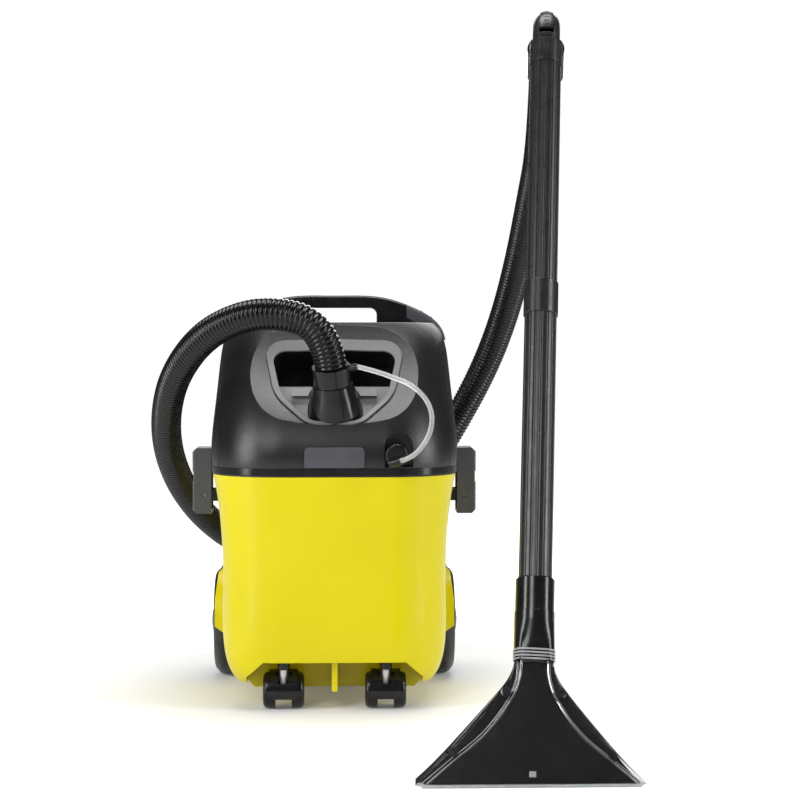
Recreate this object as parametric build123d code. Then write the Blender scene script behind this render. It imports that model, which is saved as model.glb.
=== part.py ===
from build123d import *
import os
from math import cos, pi, radians, sin, tan

# A spray-extraction carpet cleaner: a tub on casters and wheels, a lift-off head with the motor
# and the carry handle, a corrugated suction hose and a floor wand that stands on its nozzle.
# Every piece is made about the machine's middle: X to the right, Y to the back, Z up, in mm.
# The hand-in frame's origin is on the floor under the middle of the whole set, so PLACE moves
# every piece there as it is written.
PLACE = (-67.2, 195.0, 0.0)

# Tub: heights, and the width, front, back and corner radius of its outline at each height.
TUB_LEVELS = [
    (30, 242, -162, 150, 58),
    (58, 267, -180, 162, 66),
    (110, 275, -184, 168, 72),
    (190, 276, -184, 170, 74),
    (240, 284, -186, 174, 78),
    (284, 300, -188, 182, 86),
]
TUB_RIM_Z = 284.0
WALL = 3.5
TUB_FLOOR_Z = 66.0
REAR_FLOOR_Z = 152.0
REAR_STEP_Y = 18.0
RECESS_HALF_W = 107.0
RECESS_BACK_Y = -106.0
RECESS_TOP_Z = 60.0
RECESS_SLANT = 21.0
BASE_BOTTOM_Z = 19.0
BASE_HALF_W = 108.0
BASE_BACK_Y = 140.0
BASE_CORNER_R = 40.0
BASE_WALL = 4.0
BASE_SLANT = 9.0
FENDER_IN = 126.0
FENDER_HALF_W = 156.0
FENDER_EDGE = [(126, 54), (156, 75), (156, 110), (152.6, 141.5), (126, 161)]

# Rear wheels and their axle.
WHEEL_R = 72.5
WHEEL_Y = 105.0
WHEEL_ROOM_R = WHEEL_R + 2.5
WHEEL_ROOM_X = 125.0
WHEEL_ROOM_W = 80.0
WHEEL_IN = 129.0
WHEEL_OUT = 164.0
HUB_FACE = 154.2
AXLE_R = 5.0
RUNNING = 0.05

# Front casters.
CASTER_X = 62.0
CASTER_STEM_Y = -158.0
CASTER_TRAIL = 12.0
CASTER_WHEEL_R = 22.0
CASTER_WHEEL_W = 15.0
CASTER_HALF_W = 25.0
CASTER_STEM_R = 4.0
CASTER_HOOD_R = 25.5
CASTER_HOOD_HALF_W = 17.5
CASTER_HOOD_LOW_Z = 14.0
CASTER_HUB_R = 9.5
CASTER_HUB_TOP_Z = 32.5

# Latches on the tub's two sides.
LATCH_IN = 157.0
LATCH_OUT = 181.0
LATCH_LOW_Z = 226.0
LATCH_TOP_Z = 310.0
LATCH_HALF_Y = 22.0
LATCH_PIVOT_X = 166.0
LATCH_PIVOT_Z = 249.0
PIN_R = 2.5

# Head: the same kind of levels as the tub's, above the rim band.
HEAD_LEVELS = [
    (294, 302, -188, 184, 86),
    (325, 303, -186, 186, 88),
    (380, 294, -158, 180, 90),
    (430, 287, -116, 166, 92),
    (470, 264, -62, 140, 84),
]
HEAD_LOW_Z = 294.0
HEAD_TOP_Z = 470.0
BASE_PLATE_LOW_Z = 284.0
FRONT_HALF_W = 140.0
FRONT_BACK_Y = -10.0
SEAM = 0.4

# Carry handle and the shoulders that it stands on.
HANDLE_ARCH = [(143, 448), (135, 467), (100, 490.5), (68, 501.5), (0, 505)]
HANDLE_CENTRE_Z = 400.0
HANDLE_FRONT_Y = -6.0
HANDLE_BACK_Y = 34.0
GRIP_HALF_W = 55.0
GRIP_LOW_Z = 489.0
PANEL_IN_X = 93.0
PANEL_OUT_X = 145.0
PANEL_LOW_Z = 450.0
PANEL_SHRINK = 0.87
ROCKER_PIVOT_DROP = 1.5
ROCKER_PIVOT_R = 1.0

# Hose socket: a dish and an opening in the head's sloping front, and a cuff that stands in it.
SLOPE_AT = Vector(0, -136, 398)
SLOPE_OUT = Vector(0, -0.788, 0.616)
DISH_UP = 46.0
DISH_R = 420.0
DISH_STRETCH = 1.25
DISH_DEPTH = 14.0
SHIELD_FOOT = (28.0, -62.0)
SHIELD_WAIST = (65.0, -18.0)
SHIELD_TOP = (78.0, 52.0)
SHIELD_CROWN_UP = 6.0
SHIELD_FOOT_R = 22.0
SHIELD_WAIST_R = 60.0
SHIELD_TOP_R = 17.0
SHIELD_CROWN_R = 300.0
BEZEL_W = 8.4
BEZEL_RISE = 3.5
BEZEL_TOP = 4.0
WELL_DEPTH = 52.0
LEDGE_Z = 390.0
SOCKET_BASE = Vector(1, -150, 363)
SOCKET_AXIS = Vector(-0.09, -0.33, 0.94)
CUFF_R = 23.0
CUFF_SKIRT_R = 33.0
CUFF_LENGTH = 57.0
CUFF_BORE_R = 17.0
TAIL_LENGTH = 34.0

# Suction hose. Its first stretch, down to HOSE_SPLIT, lifts off with the head.
HOSE_R = 19.5
HOSE_BORE_R = 16.5
HOSE_ROUTE = [
    (-8, -178, 440),
    (-29, -187, 471),
    (-72, -181, 481),
    (-114, -160, 476),
    (-162, -118, 452),
    (-201, -54, 404),
    (-219, 20, 350),
    (-221, 92, 297),
    (-208, 162, 246),
    (-180, 225, 198),
    (-134, 275, 157),
    (-50, 304, 137),
    (45, 315, 172),
    (124, 308, 244),
    (175, 282, 332),
    (212, 246, 407),
    (235, 192, 478),
    (249, 116, 555),
    (256, 26, 629),
    (261, -56, 692),
]
HOSE_SPLIT = 6

# Spray tube between the head's quick coupling and the hose's cuff.
SPRAY_R = 3.0
SPRAY_BORE_R = 1.9
SPRAY_BOSS_R = 4.2
COUPLING_AT = Vector(74, -196, 311)
COUPLING_R = 13.5
SPRAY_ROUTE = [
    (78, -214, 305),
    (90, -219, 309),
    (102, -221, 320),
    (113, -222, 338),
    (116, -221, 360),
    (108, -216, 380),
    (90, -208, 396),
    (69, -199, 404),
    (49, -191, 411),
    (28, -181, 416),
]

# Wand: it leans back from its nozzle, which stands on the floor.
WAND_FOOT = Vector(198.5, -570, 0)
WAND_AXIS = Vector(0.0537, 0.3575, 0.9323)
NOZZLE_SIDE = [(117, 0), (93, 25), (65, 58), (37.5, 91), (28.5, 103), (23.2, 113), (19.5, 126)]
NECK_LOW = 121.0
NECK_TOP = 213.0
SLEEVE_LOW = 509.0
SLEEVE_TOP = 548.0
TUBE_R = 17.6
TUBE_BORE_R = 14.5
COLLAR_LOW = 817.0
COLLAR_TOP = 845.0
COLLAR_R = TUBE_R + 1
GRIP_R = 15.8
GRIP_BORE_R = 12.0
ELBOW_S = 885.0
ELBOW_R = 26.0
GRIP_END = (78.0, 873.0)
HANDLE_TWIST = -5.0
TRIGGER_LOW = 859.0
TRIGGER_SLOT_LOW = 853.5
TRIGGER_BACK_Y = 14.0
TRIGGER_PIVOT_R = 36.0
TRIGGER_PIVOT_ANGLE = 66.0
TRIGGER_PIN_R = 1.8

# Motor, turbine and pump inside the head.
MOTOR_AT = (0.0, 52.0)
MOTOR_R = 44.0
ROTOR_R = 52.0
PUMP_AT = (88.0, 40.0)


def write(name, shape):
    """Moves a piece to the hand-in frame and writes it under its node's name."""
    export_step(shape.moved(Location(PLACE)), f"parts/{name}.step")


def block(x, y, z):
    """A box from three (low, high) pairs."""
    size = [high - low for low, high in (x, y, z)]
    middle = [(low + high) / 2 for low, high in (x, y, z)]
    return Pos(*middle) * Box(*size)


def rod(radius, start, end):
    """A round bar between two points."""
    start, end = Vector(*start), Vector(*end)
    along = end - start
    plane = Plane(origin=start, z_dir=along)
    return extrude(plane * Circle(radius), along.length)


def ring(outer, inner, start, end):
    """A round tube between two points."""
    start, end = Vector(*start), Vector(*end)
    along = end - start
    plane = Plane(origin=start, z_dir=along)
    return extrude(plane * (Circle(outer) - Circle(inner)), along.length)


def sorted_pair(a, b):
    """Two numbers, the lower one first."""
    return (min(a, b), max(a, b))


def mirrored(shape):
    """The same piece on the machine's other side."""
    return mirror(shape, about=Plane.YZ)


def both(shape):
    """A piece and its mirror image, as one group of separate solids."""
    return Compound(children=[*shape.solids(), *mirrored(shape).solids()])


def level_loft(levels, inset=0.0):
    """A solid through rounded rectangles, one at each level, drawn in by inset."""
    outlines = []
    for height, width, front, back, corner in levels:
        middle = Pos(0, (front + back) / 2, height)
        outline = RectangleRounded(width - 2 * inset, back - front - 2 * inset, corner - inset)
        outlines.append(middle * outline)
    return loft(outlines)


def level_at(levels, height):
    """The outline between two levels, by straight interpolation."""
    for low, high in zip(levels, levels[1:]):
        if low[0] <= height <= high[0]:
            part = (height - low[0]) / (high[0] - low[0])
            return tuple(a + (b - a) * part for a, b in zip(low, high))
    raise ValueError(height)


def tub_cavity():
    """The room inside the tub: a deep front half and a shallow rear half over the axle."""
    rim = (TUB_RIM_Z + 1, *TUB_LEVELS[-1][1:])
    room = level_loft([level_at(TUB_LEVELS, TUB_FLOOR_Z), *TUB_LEVELS[2:], rim], WALL)
    return room - block((-300, 300), (REAR_STEP_Y, 300), (0, REAR_FLOOR_Z))


def fender(side):
    """The arch over a rear wheel's upper half, cut on a slight slant at its top and foot."""
    radius = WHEEL_R + 10
    outer = rod(radius, (FENDER_IN, WHEEL_Y, WHEEL_R), (FENDER_HALF_W, WHEEL_Y, WHEEL_R))
    slants = extrude(Plane.XZ.offset(-300) * Polygon(*FENDER_EDGE, align=None), 350)
    arch = outer & slants
    arch -= block((0, 200), (WHEEL_Y + 40, 300), (0, 110))
    return arch if side > 0 else mirrored(arch)


def base_form(low, inset):
    """The tub's base between the recess and the back, rounded at the back and drawn in by inset."""
    half, back = BASE_HALF_W - inset, BASE_BACK_Y - inset
    form = block((-half, half), (RECESS_BACK_Y, back), (low, TUB_FLOOR_Z - 4))
    corners = form.edges().filter_by(Axis.Z).group_by(Axis.Y)[-1]
    return fillet(corners, BASE_CORNER_R - inset)


def tub_shell():
    """The moulded tub with its skirt, caster recess, wheel wells and latch pads."""
    shell = level_loft(TUB_LEVELS)
    shell += fender(1) + fender(-1)
    base = base_form(BASE_BOTTOM_Z, 0)
    shell += chamfer(base.edges().filter_by(Axis.Y).group_by(Axis.Z)[0], BASE_SLANT)
    recess = block((-RECESS_HALF_W, RECESS_HALF_W), (-250, RECESS_BACK_Y), (0, RECESS_TOP_Z))
    edges = recess.edges().filter_by(Axis.Y).group_by(Axis.Z)[-1]
    shell -= chamfer(edges, RECESS_SLANT)
    shell += block((-3.5, 3.5), (-166, RECESS_BACK_Y + 1), (BASE_BOTTOM_Z + 4, RECESS_TOP_Z + 2))
    for side in (1, -1):
        shell -= wheel_well(side)
    shell -= tub_cavity()
    for side in (1, -1):
        shell += rod(14, (side * CASTER_X, CASTER_STEM_Y, 61), (side * CASTER_X, CASTER_STEM_Y, 84))
        shell -= rod(8, (side * CASTER_X, CASTER_STEM_Y, 50), (side * CASTER_X, CASTER_STEM_Y, 80))
    hollow = base_form(0, BASE_WALL + BASE_SLANT)
    hollow += block((-BASE_HALF_W, BASE_HALF_W), (0, 150), (TUB_FLOOR_Z - 6, REAR_FLOOR_Z - 4))
    shell -= hollow & block((-200, 200), (REAR_STEP_Y + 4, 200), (-10, 200))
    for rib_x in (-60, 60):
        shell += block((rib_x - 2, rib_x + 2), (REAR_STEP_Y + 2, 138), (BASE_BOTTOM_Z + 6, REAR_FLOOR_Z - 2))
    shell -= rod(AXLE_R, (-140, WHEEL_Y, WHEEL_R), (140, WHEEL_Y, WHEEL_R))
    return shell


def wheel_well(side):
    """The room for a rear wheel: round above the axle and open below it."""
    below = Pos(-side * WHEEL_ROOM_R / 2, 0) * Rectangle(WHEEL_ROOM_R, 2 * WHEEL_ROOM_R)
    turned = Pos(side * WHEEL_ROOM_X, WHEEL_Y, WHEEL_R) * Rot(0, -90 * side, 0)
    return turned * extrude(Circle(WHEEL_ROOM_R) + below, -WHEEL_ROOM_W)


def clean_water_tank():
    """The open fresh-water bin that hangs in the tub's rear half."""
    outer = block((-104, 104), (40, 150), (REAR_FLOOR_Z + 4, 262))
    outer = fillet(outer.edges().filter_by(Axis.Z), 16)
    inner = block((-101, 101), (43, 147), (REAR_FLOOR_Z + 7, 270))
    inner = fillet(inner.edges().filter_by(Axis.Z), 13)
    outer += block((-104, 104), (45, 145), (REAR_FLOOR_Z, REAR_FLOOR_Z + 5))
    return outer - inner


def tank_strainer():
    """The intake strainer on the fresh-water bin's floor."""
    low = REAR_FLOOR_Z + 7
    cup = ring(13, 10.5, (70, 90, low), (70, 90, low + 18))
    return cup + rod(13, (70, 90, low + 18), (70, 90, low + 21))


def latch_brackets():
    """The two-eared bracket that holds each latch's pin, screwed to the tub's wall."""
    plate = block((136, 147), (-16, 16), (242, 257))
    for low in (10, -16):
        plate += block((146, 172), (low, low + 6), (242, 257))
    plate -= level_loft(TUB_LEVELS)
    plate -= rod(PIN_R, (LATCH_PIVOT_X, -30, LATCH_PIVOT_Z), (LATCH_PIVOT_X, 30, LATCH_PIVOT_Z))
    return both(plate)


def latch_pins():
    """The steel pins in the brackets."""
    pin = rod(PIN_R, (LATCH_PIVOT_X, -16, LATCH_PIVOT_Z), (LATCH_PIVOT_X, 16, LATCH_PIVOT_Z))
    return both(pin)


def latch(side):
    """A clamp lever: a hollow cap with a barrel on the bracket's pin."""
    body = block((LATCH_IN, LATCH_OUT), (-LATCH_HALF_Y, LATCH_HALF_Y), (LATCH_LOW_Z, LATCH_TOP_Z))
    outer_edges = body.edges().filter_by(Axis.Y).group_by(Axis.X)[-1]
    body = chamfer(outer_edges, 5)
    body = fillet(body.edges().filter_by(Axis.Z).group_by(Axis.X)[-1], 3)
    body -= block((150, LATCH_OUT - 4), (-18, 18), (LATCH_LOW_Z + 4, LATCH_TOP_Z - 4))
    body -= block((LATCH_OUT - 1.2, 200), (-30, 30), (266, 280))
    for groove_z in (252, 240):
        body -= block((LATCH_OUT - 1, 200), (-30, 30), (groove_z, groove_z + 1.2))
    body += block((LATCH_PIVOT_X, LATCH_OUT - 3), (-9.6, 9.6), (LATCH_PIVOT_Z - 5, LATCH_PIVOT_Z + 5))
    body += rod(6, (LATCH_PIVOT_X, -9.6, LATCH_PIVOT_Z), (LATCH_PIVOT_X, 9.6, LATCH_PIVOT_Z))
    body -= rod(PIN_R + RUNNING, (LATCH_PIVOT_X, -30, LATCH_PIVOT_Z), (LATCH_PIVOT_X, 30, LATCH_PIVOT_Z))
    return body if side > 0 else mirrored(body)


def rear_axle():
    """The steel rod through the tub and both rear wheels."""
    return rod(AXLE_R, (0.2 - HUB_FACE, WHEEL_Y, WHEEL_R), (HUB_FACE - 0.2, WHEEL_Y, WHEEL_R))


def rear_wheel(side):
    """A domed moulded wheel with a rounded tread, turned about the axle."""
    face = HUB_FACE + 4.8
    with BuildPart() as made:
        with BuildSketch(Plane.XZ):
            with BuildLine():
                Polyline((AXLE_R + RUNNING, WHEEL_IN), (AXLE_R + RUNNING, HUB_FACE), (24, HUB_FACE),
                         (30, HUB_FACE + 1.8), (46, face))
                Line((46, face), (58, face))
                Spline((58, face), (67.5, face - 4.5), (WHEEL_R, face - 15), tangents=[(1, 0), (0, -1)])
                Line((WHEEL_R, face - 15), (WHEEL_R, WHEEL_IN + 6))
                Spline((WHEEL_R, WHEEL_IN + 6), (66, WHEEL_IN), tangents=[(0, -1), (-1, 0)])
                Line((66, WHEEL_IN), (AXLE_R + RUNNING, WHEEL_IN))
            make_face()
        revolve(axis=Axis.Z)
        with BuildSketch(Plane.XY.offset(WHEEL_IN)):
            Circle(62)
            Circle(18, mode=Mode.SUBTRACT)
        extrude(amount=14, mode=Mode.SUBTRACT)
    wheel = Pos(0, WHEEL_Y, WHEEL_R) * Rot(0, 90, 0) * made.part
    return wheel if side > 0 else mirrored(wheel)


def hub_cap(side):
    """The domed cap that closes a wheel's bore."""
    with BuildPart() as made:
        with BuildSketch(Plane.XZ):
            with BuildLine():
                Polyline((0, HUB_FACE), (24, HUB_FACE), (24, HUB_FACE + 2.3))
                Spline((24, HUB_FACE + 2.3), (0, WHEEL_OUT), tangents=[(-0.6, 0.8), (-1, 0)])
                Line((0, WHEEL_OUT), (0, HUB_FACE))
            make_face()
        revolve(axis=Axis.Z)
    cap = Pos(0, WHEEL_Y, WHEEL_R) * Rot(0, 90, 0) * made.part
    return cap if side > 0 else mirrored(cap)


def caster_axle_y():
    """How far back a caster's wheels trail."""
    return CASTER_STEM_Y + CASTER_TRAIL


def caster_hood(side):
    """The moulded cap over a caster's two wheels, with the stem's hub and the axle stubs."""
    x, y = side * CASTER_X, caster_axle_y()
    half = CASTER_HALF_W - CASTER_WHEEL_W - 0.4
    left, right = (x - CASTER_HOOD_HALF_W, y, CASTER_WHEEL_R), (x + CASTER_HOOD_HALF_W, y, CASTER_WHEEL_R)
    hood = ring(CASTER_HOOD_R, CASTER_WHEEL_R + 0.6, left, right)
    hood += rod(CASTER_HOOD_R - 1, (x - half, y, CASTER_WHEEL_R), (x + half, y, CASTER_WHEEL_R))
    hood &= block((x - 30, x + 30), (y - 40, y + 20), (CASTER_HOOD_LOW_Z, 60))
    hood += rod(CASTER_HUB_R, (x, CASTER_STEM_Y, CASTER_HOOD_LOW_Z), (x, CASTER_STEM_Y, CASTER_HUB_TOP_Z))
    hood -= block((x - 6, x + 6), (y - 40, CASTER_STEM_Y + 5.5), (CASTER_HUB_TOP_Z, 60))
    hood += rod(AXLE_R - 1, (x - 22, y, CASTER_WHEEL_R), (x + 22, y, CASTER_WHEEL_R))
    hood -= rod(CASTER_STEM_R, (x, CASTER_STEM_Y, 24), (x, CASTER_STEM_Y, 60))
    return hood


def caster_stem(side):
    """The steel pin that a caster swivels on."""
    x = side * CASTER_X
    return rod(CASTER_STEM_R, (x, CASTER_STEM_Y, 24), (x, CASTER_STEM_Y, 78))


def caster_wheels(side):
    """A caster's pair of wheels, with rounded outer rims."""
    x, y = side * CASTER_X, caster_axle_y()
    pair = []
    for hand in (1, -1):
        inner = x + hand * (CASTER_HALF_W - CASTER_WHEEL_W)
        outer = x + hand * CASTER_HALF_W
        disc = rod(CASTER_WHEEL_R, (inner, y, CASTER_WHEEL_R), (outer, y, CASTER_WHEEL_R))
        rims = disc.edges().filter_by(GeomType.CIRCLE).sort_by(Axis.X)
        rim = rims[-1] if hand > 0 else rims[0]
        disc = fillet(rim, 6)
        disc -= rod(AXLE_R - 1 + RUNNING, (inner, y, CASTER_WHEEL_R), (x + hand * 22.2, y, CASTER_WHEEL_R))
        pair.append(disc)
    return Compound(children=[s for disc in pair for s in disc.solids()])


def caster_sockets():
    """The black bushes in the tub's floor that the caster stems turn in."""
    x, y = CASTER_X, CASTER_STEM_Y
    bush = ring(8, CASTER_STEM_R + RUNNING, (x, y, 57), (x, y, 80))
    bush += ring(7.5, CASTER_STEM_R + RUNNING, (x, y, 49), (x, y, 58))
    bush += ring(10.5, CASTER_STEM_R + RUNNING, (x, y, 57), (x, y, 60))
    return both(bush)


def head_outer():
    """The head's whole outer form."""
    form = level_loft(HEAD_LEVELS)
    top_edges = form.edges().group_by(Axis.Z)[-1]
    return fillet(top_edges, 9)


def head_inner():
    """The room inside the head's covers."""
    levels = [(HEAD_LOW_Z - 1, *HEAD_LEVELS[0][1:]), *HEAD_LEVELS[1:-1]]
    levels.append((HEAD_TOP_Z - WALL, *HEAD_LEVELS[-1][1:]))
    return level_loft(levels, WALL)


def square_plane(origin, axis, offset=0.0):
    """A plane square to an axis, with its X level."""
    axis = axis.normalized()
    side = Vector(1, 0, 0)
    side = (side - axis * side.dot(axis)).normalized()
    return Plane(origin=origin + axis * offset, x_dir=side, z_dir=axis)


def socket_plane(offset=0.0):
    """A plane square to the cuff's axis."""
    return square_plane(SOCKET_BASE, SOCKET_AXIS, offset)


def slope_plane(offset=0.0):
    """A plane on the head's sloping front, with its Y up the slope."""
    return square_plane(SLOPE_AT, SLOPE_OUT, offset)


def shield_outline(grow, extra_top=0.0):
    """The rounded shield shape round the socket, widened all round by grow; its blunt apex is low."""
    top = (SHIELD_TOP[0], SHIELD_TOP[1] + extra_top)
    right = [SHIELD_FOOT, SHIELD_WAIST, top]
    left = [(-x, y) for x, y in reversed(right)]
    outline = Polygon(*right, (0, top[1] + SHIELD_CROWN_UP), *left, align=None)
    for middle, radius in ((Vector(0, top[1] + SHIELD_CROWN_UP), SHIELD_CROWN_R),
                           (Vector(*top), SHIELD_TOP_R), (Vector(*SHIELD_WAIST), SHIELD_WAIST_R),
                           (Vector(*SHIELD_FOOT), SHIELD_FOOT_R)):
        corners = [v for v in outline.vertices() if abs(abs(v.X) - middle.X) < 0.01 and abs(v.Y - middle.Y) < 0.01]
        outline = fillet(corners, radius)
    return offset(outline, grow) if grow else outline


def socket_prism(grow, low, high, extra_top=0.0):
    """A straight prism of the shield outline, square to the slope."""
    return extrude(slope_plane(low) * shield_outline(grow, extra_top), high - low)


def dish(more=0.0):
    """The shallow dish round the shield, as a wide egg's cut, and the egg grown by more."""
    centre = slope_plane().from_local_coords(Vector(0, DISH_UP, DISH_R - DISH_DEPTH))
    radius = DISH_R + more
    upper = Ellipse(DISH_STRETCH * radius, radius) & Pos(0, radius) * Rectangle(4 * radius, 2 * radius)
    return Pos(*centre) * revolve(upper, Axis.X)


def head_cover_form():
    """The head's covers before they are split: shell, dish and socket opening."""
    outer = head_outer()
    form = outer - head_inner()
    form += dish(WALL) & outer
    form -= dish()
    return form - socket_prism(4.5, -60, 120, 4) - cuff_room()


def coupling_recess():
    """The arched pocket for the spray coupling, cut into the front cover."""
    x, z = COUPLING_AT.X + 3, COUPLING_AT.Z
    pocket = block((x - 17, x + 17), (-220, -172), (HEAD_LOW_Z + 2, z + 10))
    return pocket + rod(17, (x, -220, z + 10), (x, -172, z + 10))


def front_cover(form):
    """The front moulding, from side seam to side seam."""
    cover = form & block((-FRONT_HALF_W, FRONT_HALF_W), (-300, FRONT_BACK_Y), (0, 600))
    pocket = coupling_recess()
    liner = block((COUPLING_AT.X - 18, COUPLING_AT.X + 24), (-172, -169), (HEAD_LOW_Z, COUPLING_AT.Z + 30))
    cover -= pocket
    cover += liner
    cover -= front_plate(SEAM)
    return biggest(cover)


def rear_cover(form):
    """The moulding round the sides and the back."""
    keep = block((-FRONT_HALF_W - SEAM, FRONT_HALF_W + SEAM), (-300, FRONT_BACK_Y + SEAM), (0, 600))
    cover = form - keep
    cover -= block((-62, 62), (150, 220), (330, 392))
    cover -= rod(9, (110, 120, 320), (110, 220, 320))
    return biggest(cover)


def biggest(shape):
    """The largest solid of a shape."""
    return sorted(shape.solids(), key=lambda s: s.volume)[-1]


def front_plate(grow=0.0):
    """The grey arched plate at the front cover's lower edge."""
    half, low, high = 36 + grow, HEAD_LOW_Z + 1 - grow, 320 + grow
    plate = block((-half, half), (-196, -184), (low, high))
    corners = plate.edges().filter_by(Axis.Y).group_by(Axis.Z)[-1]
    plate = fillet(corners, 5)
    skin = level_loft(HEAD_LEVELS, -0.8 if grow == 0 else -6) - level_loft(HEAD_LEVELS, 2.2 + grow)
    return plate & skin


def exhaust_grille():
    """The slotted plate that lets the motor's air out at the back."""
    plate = block((-61, 61), (150, 220), (331, 391))
    skin = level_loft(HEAD_LEVELS) - level_loft(HEAD_LEVELS, WALL)
    plate &= skin
    for row in range(6):
        plate -= block((-54, 54), (150, 220), (337 + 8.5 * row, 341.5 + 8.5 * row))
    return plate


def cable_gland():
    """The bush where the mains lead would enter."""
    gland = ring(9, 4, (110, 140, 320), (110, 196, 320))
    return gland + ring(12, 4, (110, 187, 320), (110, 192, 320))


def base_plate():
    """The plate that closes the tub, with its outside rim and a port to the tub."""
    rim = level_loft([(BASE_PLATE_LOW_Z + 2, 303, -189.5, 183.5, 88), (HEAD_LOW_Z, 303, -189.5, 185, 88)])
    rim -= level_loft([(BASE_PLATE_LOW_Z, 294, -185, 179, 84), (HEAD_LOW_Z - 3, 294, -185, 179, 84)])
    plug = level_loft([(268, 282, -178, 172, 76), (HEAD_LOW_Z - 1, 291, -183, 177, 80)])
    plug -= level_loft([(266, 276, -175, 169, 73), (HEAD_LOW_Z - 5, 285, -180, 174, 77)])
    plate = rim + plug
    plate -= rod(22, (0, 0, 200), (0, 0, 320))
    plate -= rod(21, (-2, -130, 200), (-2, -130, 320))
    return plate


def rim_seal():
    """The soft ring that seals the head on the tub's rim."""
    outer = level_loft([(TUB_RIM_Z, 299, -187.5, 181.5, 85), (BASE_PLATE_LOW_Z + 2, 299, -187.5, 181.5, 85)])
    inner = level_loft([(TUB_RIM_Z - 1, 295, -185.5, 179.5, 83), (BASE_PLATE_LOW_Z + 3, 295, -185.5, 179.5, 83)])
    return outer - inner


def handle_arch(scale=1.0):
    """The arch that runs over the head from shoulder to shoulder, drawn in to a scale."""
    side = [(x * scale, HANDLE_CENTRE_Z + (z - HANDLE_CENTRE_Z) * scale) for x, z in HANDLE_ARCH]
    other = [(-x, z) for x, z in side]
    with BuildPart() as made:
        with BuildSketch(Plane.XZ.offset(-HANDLE_BACK_Y)):
            with BuildLine():
                Spline(*side, *reversed(other[:-1]))
                Line(side[0], other[0])
            make_face()
        extrude(amount=HANDLE_BACK_Y - HANDLE_FRONT_Y)
    return made.part


def carry_handle():
    """The fixed handle, with its finger opening and its two shoulders."""
    arch = handle_arch()
    arch = fillet(arch.edges().filter_by(GeomType.BSPLINE), 6)
    gap = block((-GRIP_HALF_W, GRIP_HALF_W), (-50, 80), (HEAD_TOP_Z - 20, GRIP_LOW_Z))
    gap = fillet(gap.edges().filter_by(Axis.Y).group_by(Axis.Z)[-1], 9)
    arch -= gap
    arch -= head_outer()
    for side in (1, -1):
        arch -= panel_block(side)
        arch -= rocker_room(side, 0.7)
    return Compound(children=[s for s in arch.solids() if s.volume > 500])


def panel_block(side):
    """The part of a shoulder that the switch panel fills."""
    low, high = sorted_pair(side * PANEL_IN_X, side * PANEL_OUT_X)
    region = block((low, high), (HANDLE_FRONT_Y - 1, HANDLE_BACK_Y - 3), (PANEL_LOW_Z, 520))
    return region - handle_arch(PANEL_SHRINK)


def switch_panels():
    """The grey inlays on the shoulders, with the rockers' openings and pivot holes."""
    arch = handle_arch()
    arch = fillet(arch.edges().filter_by(GeomType.BSPLINE), 6)
    panel = (panel_block(1) & arch) - rocker_room(1, 0.3) - head_outer()
    return both(biggest(panel - rocker_pin(1, ROCKER_PIVOT_R + RUNNING, 13)))


def rocker_frame(side):
    """The place of a rocker: X across the shoulder, Z out of it."""
    return Plane(origin=(side * 117.5, 14, 479), x_dir=(0.83, 0, -0.557 * side), z_dir=(0.557 * side, 0, 0.83))


def rocker_pivot(side):
    """The middle of the axis that a rocker tilts about."""
    return rocker_frame(side).from_local_coords(Vector(0, 0, -ROCKER_PIVOT_DROP))


def rocker_pin(side, radius, reach):
    """A bar along a rocker's axis."""
    middle = rocker_pivot(side)
    return rod(radius, middle - Vector(0, reach, 0), middle + Vector(0, reach, 0))


def rocker_room(side, grow):
    """The opening that a rocker sits in."""
    frame = rocker_frame(side)
    return Location(frame) * Box(17 + 2 * grow, 22 + 2 * grow, 14)


def rocker(side):
    """A rocker switch with a shallow V top and its two pivots."""
    frame = rocker_frame(side)
    with BuildPart() as made:
        with BuildSketch(Plane.XZ.offset(-10.6)):
            Polygon((-8.2, -2.5), (8.2, -2.5), (8.2, 3.4), (0, 1.6), (-8.2, 2.6), align=None)
        extrude(amount=21.2)
    return Location(frame) * made.part + rocker_pin(side, ROCKER_PIVOT_R, 12.5)


def socket_shield():
    """The pale bezel that lies in the dish round the socket's opening."""
    outline = Pos(0, BEZEL_RISE) * shield_outline(BEZEL_W, BEZEL_TOP)
    band = extrude(slope_plane(-60) * outline, 120) - socket_prism(0, -70, 70)
    band = (band & dish(-0.02) & level_loft(HEAD_LEVELS, -4)) - dish(-2.4)
    return biggest(band - cuff_room())


def socket_well():
    """The dark pocket behind the opening, with a port in its floor for the cuff's tail."""
    well = socket_prism(4.2, -WELL_DEPTH, 40, 3.6) - socket_prism(1.5, -WELL_DEPTH + 3, 50, 1)
    well &= dish_backing_side()
    return biggest(well - extrude(socket_plane(-60) * Circle(CUFF_R + 0.4), 90) - cuff_room())


def cuff_room():
    """The room that the cuff's skirt needs."""
    return extrude(socket_plane(-6.4) * Circle(CUFF_SKIRT_R + 0.5), 90)


def dish_backing_side():
    """All that lies behind the dish's surface, within the head."""
    return level_loft(HEAD_LEVELS, 1) - dish(0.3)


def socket_insert():
    """The grey seat that fills the pocket's lower part, with a lip along its top."""
    seat = socket_prism(1.2, -WELL_DEPTH + 3.2, -12)
    seat &= block((-100, 100), (-300, 100), (250, LEDGE_Z))
    lip = socket_prism(-1.5, -14, -5) & block((-52, 52), (-300, 100), (LEDGE_Z - 10, LEDGE_Z))
    seat += lip
    seat -= cuff_room()
    seat -= extrude(socket_plane(-80) * Circle(CUFF_R + 0.4), 90)
    return biggest(seat - socket_well())


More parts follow.
